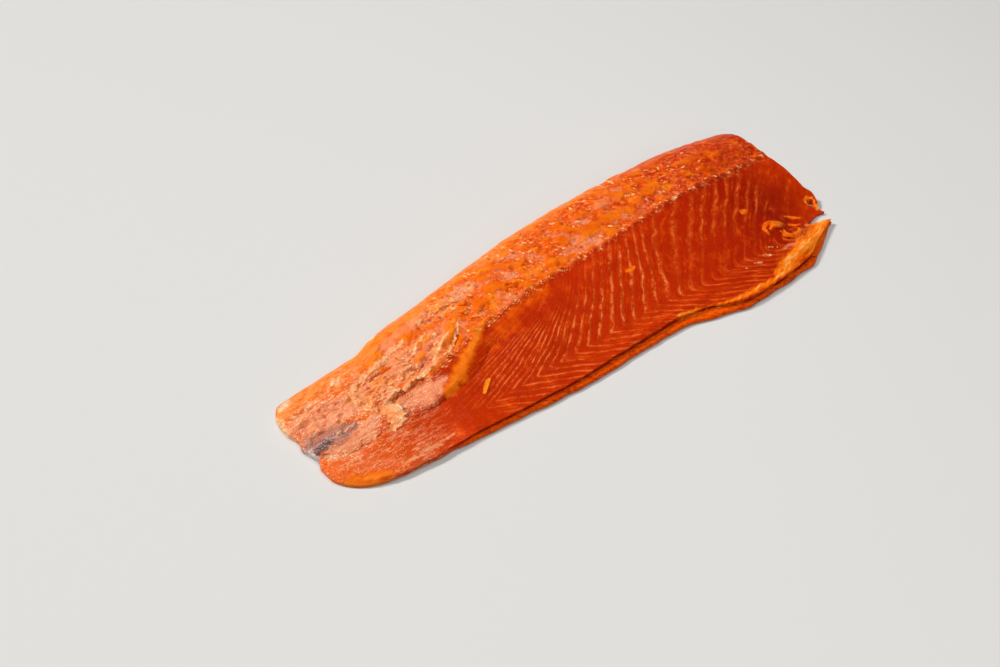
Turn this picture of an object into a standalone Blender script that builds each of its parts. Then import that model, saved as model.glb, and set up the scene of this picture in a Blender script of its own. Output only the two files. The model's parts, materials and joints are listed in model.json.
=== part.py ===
"""A trimmed side of cold-smoked salmon lying flesh side up, as one closed solid.

The side is a loft: a ring runs round each cross-section, from the back edge along the flat
underside, up the two layers of the belly edge and over the flesh. +X points to the head end,
+Y to the back, and the underside lies on Z = 0. Lengths are written in millimetres and turned
into metres by MM.
"""

import bmesh
import bpy
import numpy as np
from mathutils import Vector, noise

MM = 0.001
NAME = "smoked_salmon_side"

# Sections of the loft, tail to head: distance along the side; then the belly edge, the pin-bone
# seam and the back edge across it; then the heights of the seam, the loin and the belly's lip,
# and how far the lower layer of the belly edge stands out from under the lip.
SECTIONS = np.array(
    (
        (-264, -50, -14, 46, 7.0, 7.0, 4.0, 0),
        (-241, -53.5, -14, 50.5, 8.5, 8.5, 4.5, 0),
        (-200, -59, -13, 54, 12.5, 12.0, 5.0, 0),
        (-176, -62, -10, 56, 14.5, 14.5, 5.5, 1.0),
        (-150, -65, -6, 65, 17.0, 17.0, 6.0, 3.5),
        (-100, -70, 5, 72.5, 21.5, 22.0, 6.5, 4.0),
        (-50, -74, 11, 81, 25.0, 26.5, 7.0, 5.0),
        (0, -74.5, 14, 89, 27.5, 28.5, 7.5, 6.0),
        (40, -75, 15, 92.5, 28.5, 29.5, 7.5, 6.0),
        (75, -84.5, 18, 94.5, 29.0, 30.0, 7.5, 8.5),
        (110, -93, 22, 96, 28.5, 30.0, 7.5, 4.5),
        (145, -92.5, 24, 97, 27.5, 29.5, 7.0, 3.5),
        (184, -91.5, 24, 96.5, 25.5, 29.5, 7.0, 5.5),
        (205, -84, 23, 95, 24.5, 29.0, 7.0, 5.5),
        (228, -73.5, 22.5, 91.5, 24.0, 28.5, 6.0, 4.0),
        (247, -65, 22, 88, 23.5, 28.0, 5.0, 1.5),
        (266, -60, 22, 83, 23.0, 28.0, 5.0, 0),
    )
)

# The outlines of the two ends, seen from above, from the belly to the back. The head end's has
# the torn slit in it.
TAIL_END = (
    (-222, -57),
    (-236, -52),
    (-246, -45.5),
    (-253, -37.5),
    (-255.5, -31),
    (-256, -20),
    (-253.5, -12),
    (-256.5, 2),
    (-254.5, 10),
    (-257, 22),
    (-256, 34),
    (-248, 48),
    (-238, 56),
)
HEAD_END = (
    (254, -70),
    (248, -64),
    (242, -59),
    (232, -56.5),
    (225, -54.5),
    (235, -52),
    (246, -50),
    (254, -51.5),
    (253, -46),
    (259, -40),
    (262, -30),
    (258.5, -22),
    (258, -6),
    (256.5, 12),
    (254, 26),
    (254, 48),
    (256, 62),
    (256, 82),
    (253, 94),
)
OUTLINE_STEPS = 4
PAST_ENDS = 3
OUTLINE_SIDE = 115

LEDGE_HEIGHT = 3.6
GROOVE_DEPTH = 2.6

BACK_ROUNDNESS = 3
BACK_FULLNESS = 0.5
SEAM_RIDGE = 1.2
SEAM_RIDGE_HALF_WIDTH = 3.0

# The knife's step, where the loin stands over the belly wall near the tail: distance along the
# side, then where the foot and the top of its sloping face lie across it.
STEP_LINE = np.array(
    (
        (-186, -29, -27),
        (-150, -27, -23),
        (-118, -22.5, -9),
        (-100, -14, 1),
        (-76, -8, 5),
    )
)
STEP_DROP = 3.6
STEP_FADE = 34
STEP_ENDS = (-190, -162, -106, -76)

# Hollows and lumps of the flesh: centre along and across, half lengths, height.
MOUNDS = (
    (232, -40, 34, 26, -5.5),
    (258, -38, 12, 12, -1.5),
    (208, -47, 8, 8, -2.4),
    (190, -46, 12, 8, 3.2),
    (200, -58, 10, 4, 1.2),
    (-198, -18, 11, 9, 1.8),
    (-177, -5, 20, 3, 1.3),
    (-178, 19.5, 14, 3, -1.2),
    (-121, 5, 9, 5, -1.1),
    (-226, -24, 13, 3.5, -1.4),
    (-128, 28, 24, 9, -0.9),
    (182, -75, 34, 6, 1.6),
    (40, -66, 70, 4, 0.9),
)

# The small hole torn in the thin flesh at the head end.
HOLE_CENTRE = (252.5, -36.7)
HOLE_RADII = (3.8, 4.0)
CUTTER_HALF_HEIGHT = 40

RAGGED_EDGE = 1.3
RAGGED_PITCH = 14.0
SURFACE_WAVE = 0.7
SURFACE_WAVE_PITCH = 24.0

RINGS = 104
TOP_POINTS, BACK_POINTS, BOTTOM_POINTS, LEDGE_POINTS = 27, 6, 4, 8
FINE_POINTS = 220
TOWARDS_BACK = 1.6
SHOULDER = 0.86


def smooth_table(table, at):
    """The table's columns at each place in at, on a smooth curve that never overshoots its rows."""
    x, y = table[:, 0], table[:, 1:]
    step = np.diff(x)[:, None]
    rise = np.diff(y, axis=0) / step
    before, after = rise[:-1], rise[1:]
    same_way = before * after > 0
    slope = np.zeros_like(y)
    slope[1:-1][same_way] = 2 / (1 / before[same_way] + 1 / after[same_way])
    at = np.clip(at, x[0], x[-1])
    i = np.clip(np.searchsorted(x, at, side="right") - 1, 0, len(x) - 2)
    step = step[i]
    t = (at - x[i])[..., None] / step
    ahead = t * t * (3 - 2 * t)
    bend = slope[i] * step * t * (1 - t) ** 2 - slope[i + 1] * step * t * t * (1 - t)
    return y[i] * (1 - ahead) + y[i + 1] * ahead + bend


def smoothstep(value, low, high):
    t = np.clip((value - low) / (high - low), 0, 1)
    return t * t * (3 - 2 * t)


def waves(x, y, pitch, seed):
    """Smooth noise from -1 to 1 whose bumps are about a pitch apart."""
    flat = zip(np.ravel(x) / pitch, np.ravel(y) / pitch)
    found = [noise.noise(Vector((a, b, seed))) for a, b in flat]
    return np.array(found).reshape(np.shape(x))


def edges(x):
    """The section's belly edge, lip, seam and back edge, then the seam's, loin's and lip's heights."""
    table = smooth_table(SECTIONS, x)
    belly, seam, back, crest, loin, lip_height, ledge = np.moveaxis(table, -1, 0)
    ragged = waves(x, 0 * x, RAGGED_PITCH, 3.5)
    belly = belly + RAGGED_EDGE * ragged
    back = back + 0.5 * RAGGED_EDGE * waves(x, 0 * x, RAGGED_PITCH, 8.5)
    lip = belly + ledge * (1 - 0.4 * ragged)
    return belly, lip, seam, back, crest, loin, lip_height


def knife_step(x, y):
    """How far the belly wall drops away beside the knife's cut."""
    foot, top = np.moveaxis(smooth_table(STEP_LINE, x), -1, 0)
    begin, full, wane, end = STEP_ENDS
    ends = smoothstep(x, begin, full) * (1 - smoothstep(x, wane, end))
    face = 1 - smoothstep(y, foot, top)
    return STEP_DROP * ends * face * (1 - smoothstep(foot - y, 0, STEP_FADE))


def relief(x, y, seam):
    """What the flesh's surface adds to the plain section: seam, step, hollows and lumps."""
    ridge = SEAM_RIDGE * np.exp(-(((y - seam) / SEAM_RIDGE_HALF_WIDTH) ** 2))
    added = ridge * smoothstep(x, -150, -90) - knife_step(x, y)
    for centre_x, centre_y, half_x, half_y, height in MOUNDS:
        away = ((x - centre_x) / half_x) ** 2 + ((y - centre_y) / half_y) ** 2
        added = added + height * np.exp(-away)
    return added + SURFACE_WAVE * waves(x, y, SURFACE_WAVE_PITCH, 1.5)


def flesh_height(x, y):
    """Height of the flesh over the board at (x, y)."""
    _, lip, seam, back, crest, loin, lip_height = edges(x)
    up_belly = np.clip((y - lip) / (seam - lip), 0, 1)
    rise = 0.45 * up_belly + 0.55 * up_belly**2 * (3 - 2 * up_belly)
    belly_side = lip_height + (crest - lip_height) * rise
    from_back = np.clip((back - y) / (back - seam), 0, 1)
    loin_side = crest + (loin - crest) * 4 * from_back * (1 - from_back)
    rounding = (1 - (1 - from_back) ** BACK_ROUNDNESS) ** BACK_FULLNESS
    plain = np.where(y < seam, belly_side, loin_side * rounding)
    inside = smoothstep(from_back, 0, 0.12) * smoothstep(up_belly, 0, 0.06)
    return np.maximum(plain + relief(x, y, seam) * inside, np.minimum(plain, 2.5))


def spread(points, count):
    """The same line as points, as count points at equal distances, without its last one."""
    steps = np.linalg.norm(np.diff(points, axis=0), axis=1)
    run = np.concatenate(((0,), np.cumsum(steps)))
    wanted = np.linspace(0, run[-1], count + 1)[:-1]
    return np.stack([np.interp(wanted, run, column) for column in points.T], axis=1)


def section(x):
    """One closed ring of the loft, in millimetres."""
    across = 1 - (1 - np.linspace(0, 1, FINE_POINTS)) ** TOWARDS_BACK
    belly, lip, _, back, _, _, _ = (float(v) for v in edges(np.array(x)))
    y = lip + (back - lip) * across
    top = np.column_stack((y, flesh_height(x + 0 * y, y)))
    top[-1, 1] = 0

    share = min(1, (lip - belly) / GROOVE_DEPTH)
    high = top[0, 1]
    low = min(LEDGE_HEIGHT, 0.55 * high)
    ledge = np.array(
        (
            (belly + 1.2, 0),
            (belly, 0.35 * low),
            (belly + 0.5, 0.8 * low),
            (belly + 1.6, low),
            (lip + 0.6, low + 0.1),
            (lip + 0.4 + GROOVE_DEPTH * share, low + 0.25 * (high - low)),
            (lip + 0.2, low + 0.45 * (high - low)),
            (lip - 0.3 * share, low + 0.7 * (high - low)),
            (lip, high),
        )
    )
    shoulder = int(SHOULDER * len(top))
    bottom = np.array(((back, 0), (belly + 1.2, 0)))
    ring = np.concatenate(
        (
            spread(bottom, BOTTOM_POINTS),
            spread(ledge, LEDGE_POINTS),
            spread(top[: shoulder + 1], TOP_POINTS),
            spread(top[shoulder:], BACK_POINTS),
        )
    )
    return np.column_stack((np.full(len(ring), x), ring))


def rounded(points):
    """A smooth line through the points, as OUTLINE_STEPS steps between each two of them."""
    table = np.column_stack((range(len(points)), points))
    steps = OUTLINE_STEPS * (len(points) - 1) + 1
    return smooth_table(table, np.linspace(0, len(points) - 1, steps))


def loft(rings):
    """A closed mesh through the rings: a grid whose two long sides are welded, with both ends filled."""
    count = len(rings[0])
    bm = bmesh.new()
    bmesh.ops.create_grid(bm, x_segments=len(rings) - 1, y_segments=count, size=1)
    bm.verts.ensure_lookup_table()
    columns = sorted({round(v.co.x, 6) for v in bm.verts})
    rows = sorted({round(v.co.y, 6) for v in bm.verts})
    for vert in bm.verts:
        i = columns.index(round(vert.co.x, 6))
        j = rows.index(round(vert.co.y, 6)) % count
        vert.co = Vector(rings[i][j]) * MM
    bmesh.ops.remove_doubles(bm, verts=bm.verts, dist=0.01 * MM)
    ends = [e for e in bm.edges if e.is_boundary]
    filled = bmesh.ops.holes_fill(bm, edges=ends, sides=0)
    bmesh.ops.triangulate(bm, faces=filled["faces"])
    bmesh.ops.recalc_face_normals(bm, faces=bm.faces)
    return bm


def linked(bm, name, collection):
    mesh = bpy.data.meshes.new(name)
    bm.to_mesh(mesh)
    bm.free()
    obj = bpy.data.objects.new(name, mesh)
    collection.objects.link(obj)
    return obj


def collection_named(name):
    made = bpy.data.collections.new(name)
    bpy.context.scene.collection.children.link(made)
    return made


def cutter(obj):
    obj.hide_render = True
    obj.display_type = "WIRE"
    return obj


def outline_cutter(shift, collection):
    """A block whose two ends have the outlines of the side's ends."""
    tail, head = rounded(TAIL_END), rounded(HEAD_END)[::-1]
    back = [(tail[-1][0], OUTLINE_SIDE), (head[0][0], OUTLINE_SIDE)]
    belly = [(head[-1][0], -OUTLINE_SIDE), (tail[0][0], -OUTLINE_SIDE)]
    outline = [*tail, *back, *head, *belly]
    bm = bmesh.new()
    low = -CUTTER_HALF_HEIGHT
    base = [bm.verts.new(Vector((x + shift[0], y + shift[1], low)) * MM) for x, y in outline]
    made = bmesh.ops.extrude_face_region(bm, geom=[bm.faces.new(base)])
    raised = [v for v in made["geom"] if isinstance(v, bmesh.types.BMVert)]
    bmesh.ops.translate(bm, verts=raised, vec=(0, 0, 2 * CUTTER_HALF_HEIGHT * MM))
    bmesh.ops.recalc_face_normals(bm, faces=bm.faces)
    return cutter(linked(bm, "outline_cutter", collection))


def hole_cutter(shift, collection):
    bm = bmesh.new()
    height = 2 * CUTTER_HALF_HEIGHT * MM
    bmesh.ops.create_cone(bm, cap_ends=True, segments=12, radius1=1, radius2=1, depth=height)
    for vert in bm.verts:
        vert.co.x = (HOLE_CENTRE[0] + HOLE_RADII[0] * vert.co.x + shift[0]) * MM
        vert.co.y = (HOLE_CENTRE[1] + HOLE_RADII[1] * vert.co.y + shift[1]) * MM
    return cutter(linked(bm, "hole_cutter", collection))


def flesh_material():
    material = bpy.data.materials.new("smoked_salmon_flesh")
    material.use_nodes = True
    shader = material.node_tree.nodes["Principled BSDF"]
    shader.inputs["Base Color"].default_value = (0.66, 0.10, 0.012, 1)
    shader.inputs["Roughness"].default_value = 0.32
    shader.inputs["Metallic"].default_value = 0
    material.diffuse_color = (0.66, 0.10, 0.012, 1)
    return material


def build():
    for obj in list(bpy.data.objects):
        bpy.data.objects.remove(obj)
    parts = collection_named(NAME)
    cutters = collection_named("cutters")

    ends = np.array(TAIL_END)[:, 0].min(), np.array(HEAD_END)[:, 0].max()
    places = np.linspace(ends[0] - PAST_ENDS, ends[1] + PAST_ENDS, RINGS)
    rings = [section(x) for x in places]
    sides = np.concatenate(rings)[:, 1]
    shift = -np.array((sum(ends) / 2, (sides.min() + sides.max()) / 2, 0))
    side = linked(loft([ring + shift for ring in rings]), NAME, parts)
    side.data.materials.append(flesh_material())

    for tool, operation in (
        (outline_cutter(shift, cutters), "INTERSECT"),
        (hole_cutter(shift, cutters), "DIFFERENCE"),
    ):
        cut = side.modifiers.new(tool.name, "BOOLEAN")
        cut.operation = operation
        cut.object = tool
    side.data.shade_smooth()


build()
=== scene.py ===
# %% [markdown]
# # A side of smoked salmon
# A trimmed side of cold-smoked salmon lies flesh side up. Its looks come from three things: the
# form of the fillet, the pattern of muscle and fat in it, and the oily gloss over both. This
# lesson builds the form as one fine mesh, marks on it where each kind of tissue shows, and
# lets one material turn those marks into colour.

# %% The frame
import json
import math
import random

import bmesh
import bpy
import numpy as np
from mathutils import Matrix, Vector, noise

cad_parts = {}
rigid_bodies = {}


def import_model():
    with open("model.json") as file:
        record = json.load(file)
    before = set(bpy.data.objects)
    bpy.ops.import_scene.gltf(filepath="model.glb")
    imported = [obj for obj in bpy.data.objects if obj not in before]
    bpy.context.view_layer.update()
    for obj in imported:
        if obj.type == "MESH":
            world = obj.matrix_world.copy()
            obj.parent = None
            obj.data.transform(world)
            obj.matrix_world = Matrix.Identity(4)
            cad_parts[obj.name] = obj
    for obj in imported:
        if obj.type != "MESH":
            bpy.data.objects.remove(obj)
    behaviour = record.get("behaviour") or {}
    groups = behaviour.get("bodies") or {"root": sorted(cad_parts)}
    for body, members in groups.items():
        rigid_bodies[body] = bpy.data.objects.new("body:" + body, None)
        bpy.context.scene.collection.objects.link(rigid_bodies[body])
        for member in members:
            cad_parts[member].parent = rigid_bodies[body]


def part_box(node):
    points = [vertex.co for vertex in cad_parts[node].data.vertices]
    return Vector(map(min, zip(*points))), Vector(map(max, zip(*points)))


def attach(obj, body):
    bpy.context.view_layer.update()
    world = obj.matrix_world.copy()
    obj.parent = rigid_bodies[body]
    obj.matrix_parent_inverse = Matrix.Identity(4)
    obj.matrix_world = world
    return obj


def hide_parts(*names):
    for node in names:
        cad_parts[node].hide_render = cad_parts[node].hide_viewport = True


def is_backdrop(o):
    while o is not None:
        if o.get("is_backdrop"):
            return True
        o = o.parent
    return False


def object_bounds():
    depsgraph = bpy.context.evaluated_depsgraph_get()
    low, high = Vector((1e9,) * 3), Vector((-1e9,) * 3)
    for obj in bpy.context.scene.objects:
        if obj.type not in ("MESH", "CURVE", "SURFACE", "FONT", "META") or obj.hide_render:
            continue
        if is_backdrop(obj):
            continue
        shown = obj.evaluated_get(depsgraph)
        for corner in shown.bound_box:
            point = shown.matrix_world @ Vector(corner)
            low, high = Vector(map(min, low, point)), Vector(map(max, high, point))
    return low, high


for obj in list(bpy.data.objects):
    bpy.data.objects.remove(obj)
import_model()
cad_box = [list(corner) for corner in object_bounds()]

MM = 0.001
NODE = "smoked_salmon_side"
LOW, HIGH = (np.array(corner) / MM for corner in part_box(NODE))
TOP = HIGH[2] - 0.05


def put(name, data):
    """A new object with this data."""
    made = bpy.data.objects.new(name, data)
    bpy.context.collection.objects.link(made)
    return made


def put_mesh(name, bm):
    """A new object with the bmesh as its mesh."""
    made = put(name, bpy.data.meshes.new(name))
    bm.to_mesh(made.data)
    bm.free()
    return made


print("the side measures", (HIGH - LOW).round(1), "mm")

# %% [markdown]
# ## Camera
# The camera looks down along the side from its tail end, from about 0.9 m away. Its place and its
# three axes are written out, which fixes the roll as well. A look-at constraint would be shorter,
# but it would level the horizon.

# %% Camera
EYE = Vector((-0.51354, -0.46268, 0.59388))
RIGHT = Vector((0.7549145, -0.6545785, 0.0403859))
UP = Vector((0.422432, 0.5324405, 0.7335246))
FORWARD = Vector((0.5016525, 0.5366881, -0.678462))
LENS, SENSOR_WIDTH = 41.035, 36

camera = put("camera", bpy.data.cameras.new("camera"))
camera.data.lens = LENS
camera.data.sensor_width = SENSOR_WIDTH
camera.data.clip_start = 0.01
axes = Matrix((RIGHT, UP, -FORWARD)).transposed().to_4x4()
camera.matrix_world = Matrix.Translation(EYE) @ axes
bpy.context.scene.camera = camera
print("camera distance", round(EYE.length, 3), "m")

# %% [markdown]
# ## Shader maths
# A material is easier to read as a formula than as a web of nodes. This class wraps one output
# of a node, and the operators add the Math nodes. Anything else comes from `node`.


# %% Shader helpers
class Field:
    """One value or colour of a material that varies over the surface."""

    def __init__(self, recipe, socket):
        self.recipe, self.socket = recipe, socket

    def math(self, operation, *values):
        inputs = dict(enumerate(values))
        return self.recipe.node("ShaderNodeMath", {"operation": operation}, inputs)

    def __add__(self, other):
        return self.math("ADD", self, other)

    def __radd__(self, other):
        return self.math("ADD", other, self)

    def __sub__(self, other):
        return self.math("SUBTRACT", self, other)

    def __rsub__(self, other):
        return self.math("SUBTRACT", other, self)

    def __mul__(self, other):
        return self.math("MULTIPLY", self, other)

    def __rmul__(self, other):
        return self.math("MULTIPLY", other, self)

    def __abs__(self):
        return self.math("ABSOLUTE", self)

    def fract(self):
        return self.math("FRACT", self)

    def from_half(self):
        """Distance to the nearest number that ends in .5."""
        return abs(self.fract() - 0.5)


class Recipe:
    """The nodes of one material."""

    def __init__(self, name):
        self.material = bpy.data.materials.new(name)
        self.material.use_nodes = True
        self.tree = self.material.node_tree
        self.shader = self.tree.nodes["Principled BSDF"]
        self.place = self.node("ShaderNodeTexCoord", output="Object")
        self.marks = {}

    def node(self, kind, settings=None, inputs=None, output=0):
        made = self.tree.nodes.new(kind)
        for name, value in (settings or {}).items():
            if name == "stops":
                self.set_stops(made.color_ramp, value)
            else:
                setattr(made, name, value)
        for name, value in (inputs or {}).items():
            if isinstance(value, Field):
                self.tree.links.new(value.socket, made.inputs[name])
            else:
                made.inputs[name].default_value = value
        return Field(self, made.outputs[output])

    def set_stops(self, ramp, stops):
        while len(ramp.elements) < len(stops):
            ramp.elements.new(0.5)
        for element, (at, colour) in zip(ramp.elements, stops):
            element.position = at
            element.color = colour

    def step(self, value, low, high):
        """0 below low, 1 above high, smooth between."""
        inputs = {"Value": value, "From Min": low, "From Max": high}
        return self.node("ShaderNodeMapRange", {"interpolation_type": "SMOOTHSTEP"}, inputs)

    def ramp(self, value, stops):
        return self.node("ShaderNodeValToRGB", {"stops": stops}, {"Fac": value})

    def mix(self, under, over, share):
        inputs = {0: share, 6: under, 7: over}
        return self.node("ShaderNodeMix", {"data_type": "RGBA"}, inputs, output=2)

    def grained(self, turn, stretch):
        """Object coordinates for a pattern that is drawn out along one direction."""
        inputs = {"Vector": self.place, "Rotation": (0, 0, turn), "Scale": (stretch, 1, 1)}
        return self.node("ShaderNodeMapping", {"vector_type": "TEXTURE"}, inputs)

    def cloud(self, size_mm, detail=4, place=None, rough=0.55):
        """Noise from 0 to 1 whose lumps are about size_mm across."""
        inputs = {
            "Vector": place or self.place,
            "Scale": 1 / (size_mm * MM),
            "Detail": detail,
            "Roughness": rough,
        }
        return self.node("ShaderNodeTexNoise", None, inputs)

    def patchy(self, size_mm, place=None, rough=0.58, detail=4):
        """The same noise about -0.5 to 0.5, mostly near 0."""
        return 2 * self.cloud(size_mm, detail, place, rough) - 1

    def axis(self, name):
        """One of the object coordinates, X, Y or Z."""
        return self.node("ShaderNodeSeparateXYZ", None, {"Vector": self.place}, name)

    def bump(self, height, strength, distance_mm):
        inputs = {"Height": height, "Strength": strength, "Distance": distance_mm * MM}
        return self.node("ShaderNodeBump", None, inputs, "Normal")

    def mark(self, name):
        """One of the marks painted on the mesh."""
        if name not in self.marks:
            settings = {"attribute_name": name}
            self.marks[name] = self.node("ShaderNodeAttribute", settings, output="Fac")
        return self.marks[name]

    def finish(self, links, constants):
        for name, value in links.items():
            self.tree.links.new(value.socket, self.shader.inputs[name])
        for name, value in constants.items():
            self.shader.inputs[name].default_value = value
        return self.material


def srgb(red, green, blue):
    """A colour given as a screen shows it, 0 to 255, as the linear colour a shader takes."""
    shown = np.array((red, green, blue)) / 255
    linear = np.where(shown <= 0.04045, shown / 12.92, ((shown + 0.055) / 1.055) ** 2.4)
    return (*linear.tolist(), 1)


print("shader helpers ready")

# %% [markdown]
# ## The floor and the light
# The fish lies on a pale matt floor. The key light stands far behind its back, on the tail's side,
# so the back and the tail are bright and the belly wall falls into half shade, which shows its
# relief. Two weak lights, above and in front, and a grey world fill in the shade. A key light
# close by would burn a white patch into the floor.

# %% Floor and lights
FLOOR_SIZE = 12.0
# place in metres, size in metres, power in watts
LIGHTS = {
    "key_light": ((-3.5, 5.0, 5.25), 1.5, 655),
    "top_light": ((0.35, 0.1, 1.9), 0.9, 14),
    "front_light": ((-0.9, -1.5, 1.3), 1.2, 13),
}
WORLD_GREY = 0.5
WORLD_STRENGTH = 0.16

bm = bmesh.new()
bmesh.ops.create_grid(bm, x_segments=2, y_segments=2, size=FLOOR_SIZE)
floor = put_mesh("floor", bm)
floor_look = {"Base Color": srgb(204, 202, 199), "Roughness": 0.9}
floor.data.materials.append(Recipe("pale_floor").finish({}, floor_look))
floor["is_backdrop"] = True

for name, (spot, size, power) in LIGHTS.items():
    light = put(name, bpy.data.lights.new(name, "AREA"))
    light.data.size = size
    light.data.energy = power
    light.location = spot
    light.rotation_euler = (-Vector(spot)).to_track_quat("-Z", "Y").to_euler()

world = bpy.data.worlds.new("studio")
world.use_nodes = True
background = world.node_tree.nodes["Background"]
background.inputs["Color"].default_value = (WORLD_GREY, WORLD_GREY, WORLD_GREY, 1)
background.inputs["Strength"].default_value = WORLD_STRENGTH
bpy.context.scene.world = world
bpy.context.scene.view_settings.view_transform = "Standard"
print(len(LIGHTS), "lights")

# %% [markdown]
# ## The form of the side
# The fillet is a loft: one ring round each cross-section, with the sections given by a short table
# that is read along a smooth curve. The other way would be sculpting, which can't be re-run. The
# numbers follow the solid that this mesh stands for, so the two have the same form.

# %% Sections
# x; belly edge, seam, back edge; heights of seam, loin and lip; width of the belly's lower layer
SECTIONS = np.array(
    (
        (-264, -50, -14, 46, 7.0, 7.0, 4.0, 0),
        (-241, -53.5, -14, 50.5, 8.5, 8.5, 4.5, 0),
        (-200, -59, -13, 54, 12.5, 12.0, 5.0, 0),
        (-176, -62, -10, 56, 14.5, 14.5, 5.5, 1.0),
        (-150, -65, -6, 65, 17.0, 17.0, 6.0, 3.5),
        (-100, -70, 5, 72.5, 21.5, 22.0, 6.5, 4.0),
        (-50, -74, 11, 81, 25.0, 26.5, 7.0, 5.0),
        (0, -74.5, 14, 89, 27.5, 28.5, 7.5, 6.0),
        (40, -75, 15, 92.5, 28.5, 29.5, 7.5, 6.0),
        (75, -84.5, 18, 94.5, 29.0, 30.0, 7.5, 8.5),
        (110, -93, 22, 96, 28.5, 30.0, 7.5, 4.5),
        (145, -92.5, 24, 97, 27.5, 29.5, 7.0, 3.5),
        (184, -91.5, 24, 96.5, 25.5, 29.5, 7.0, 5.5),
        (205, -84, 23, 95, 24.5, 29.0, 7.0, 5.5),
        (228, -73.5, 22.5, 91.5, 24.0, 28.5, 6.0, 4.0),
        (247, -65, 22, 88, 23.5, 28.0, 5.0, 1.5),
        (266, -60, 22, 83, 23.0, 28.0, 5.0, 0),
    )
)
# the outlines of the two ends, as x and y
TAIL_END = (
    (-222, -57), (-236, -52), (-246, -45.5), (-253, -37.5), (-255.5, -31), (-256, -20),
    (-253.5, -12), (-256.5, 2), (-254.5, 10), (-257, 22), (-256, 34), (-248, 48), (-238, 56),
)
HEAD_END = (
    (254, -70), (248, -64), (242, -59), (232, -56.5), (225, -54.5), (235, -52), (246, -50),
    (254, -51.5), (253, -46), (259, -40), (262, -30), (258.5, -22), (258, -6), (256.5, 12),
    (254, 26), (254, 48), (256, 62), (256, 82), (253, 94),
)
TAIL_TIP = min(x for x, _ in TAIL_END)
HEAD_TIP = max(x for x, _ in HEAD_END)


def smoothstep(value, low, high):
    t = np.clip((value - low) / (high - low), 0, 1)
    return t * t * (3 - 2 * t)


def smooth_table(table, at):
    """The table's columns at each place in at, on a smooth curve that never overshoots its rows."""
    x, y = table[:, 0], table[:, 1:]
    step = np.diff(x)[:, None]
    rise = np.diff(y, axis=0) / step
    before, after = rise[:-1], rise[1:]
    same_way = before * after > 0
    slope = np.zeros_like(y)
    slope[1:-1][same_way] = 2 / (1 / before[same_way] + 1 / after[same_way])
    at = np.clip(at, x[0], x[-1])
    i = np.clip(np.searchsorted(x, at, side="right") - 1, 0, len(x) - 2)
    step = step[i]
    t = (at - x[i])[..., None] / step
    ahead = t * t * (3 - 2 * t)
    bend = slope[i] * step * t * (1 - t) ** 2 - slope[i + 1] * step * t * t * (1 - t)
    return y[i] * (1 - ahead) + y[i + 1] * ahead + bend


def waves(x, y, pitch, seed):
    """Smooth noise from -1 to 1 whose bumps are about a pitch apart."""
    flat = zip(np.ravel(x) / pitch, np.ravel(y) / pitch)
    found = [noise.noise(Vector((a, b, seed))) for a, b in flat]
    return np.array(found).reshape(np.shape(x))


print(len(SECTIONS), "sections from", TAIL_TIP, "to", HEAD_TIP, "mm")

# %% [markdown]
# The height of the flesh over the floor is a formula of the place: the belly wall rises to the
# pin-bone seam, the loin is rounded down to the back, and hollows, lumps and the step that the
# knife left near the tail are added to that.

# %% Height of the flesh
BACK_ROUNDNESS, BACK_FULLNESS = 3, 0.5
SEAM_RIDGE, SEAM_RIDGE_HALF_WIDTH, SEAM_RIDGE_BEGIN = 1.2, 3.0, (-150, -90)
BACK_RIM_SHARE, LIP_RIM_SHARE, THIN_RIM = 0.12, 0.06, 2.5
# x, then y at the foot and at the top of the knife's step
STEP_LINE = np.array(
    (
        (-186, -29, -27), (-150, -27, -23), (-118, -22.5, -9), (-100, -14, 1), (-76, -8, 5),
    )
)
STEP_DROP, STEP_FADE = 2.0, 34
STEP_ENDS = (-190, -162, -106, -76)
# centre x and y, half lengths along x and y, height; a hollow's height is below 0
MOUNDS = (
    (232, -40, 34, 26, -5.5), (258, -38, 12, 12, -1.5), (208, -47, 8, 8, -2.4),
    (190, -46, 12, 8, 3.2), (200, -58, 10, 4, 1.2), (-198, -18, 11, 9, 1.8),
    (-177, -5, 20, 3, 1.3), (-178, 19.5, 14, 3, -1.2), (-121, 5, 9, 5, -1.1),
    (-226, -24, 13, 3.5, -1.4), (-128, 28, 24, 9, -0.9), (182, -75, 34, 6, 1.6),
    (40, -66, 70, 4, 0.9),
)
RAGGED_EDGE, RAGGED_PITCH = 1.3, 14.0
SURFACE_WAVE, SURFACE_WAVE_PITCH = 0.7, 24.0


def edges(x):
    """Belly edge, lip, seam and back edge, then the seam's, loin's and lip's heights."""
    table = smooth_table(SECTIONS, x)
    belly, seam, back, crest, loin, lip_height, ledge = np.moveaxis(table, -1, 0)
    ragged = waves(x, 0 * x, RAGGED_PITCH, 3.5)
    belly = belly + RAGGED_EDGE * ragged
    back = back + 0.5 * RAGGED_EDGE * waves(x, 0 * x, RAGGED_PITCH, 8.5)
    lip = belly + ledge * (1 - 0.4 * ragged)
    return belly, lip, seam, back, crest, loin, lip_height


def knife_step(x, y):
    """How far the belly wall drops away beside the knife's cut."""
    foot, top = np.moveaxis(smooth_table(STEP_LINE, x), -1, 0)
    begin, full, wane, end = STEP_ENDS
    ends = smoothstep(x, begin, full) * (1 - smoothstep(x, wane, end))
    face = 1 - smoothstep(y, foot, top)
    return STEP_DROP * ends * face * (1 - smoothstep(foot - y, 0, STEP_FADE))


def relief(x, y, seam):
    """What the surface adds to the plain section: seam, step, hollows and lumps."""
    ridge = SEAM_RIDGE * np.exp(-(((y - seam) / SEAM_RIDGE_HALF_WIDTH) ** 2))
    added = ridge * smoothstep(x, *SEAM_RIDGE_BEGIN) - knife_step(x, y)
    for centre_x, centre_y, half_x, half_y, height in MOUNDS:
        away = ((x - centre_x) / half_x) ** 2 + ((y - centre_y) / half_y) ** 2
        added = added + height * np.exp(-away)
    return added + SURFACE_WAVE * waves(x, y, SURFACE_WAVE_PITCH, 1.5)


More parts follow.
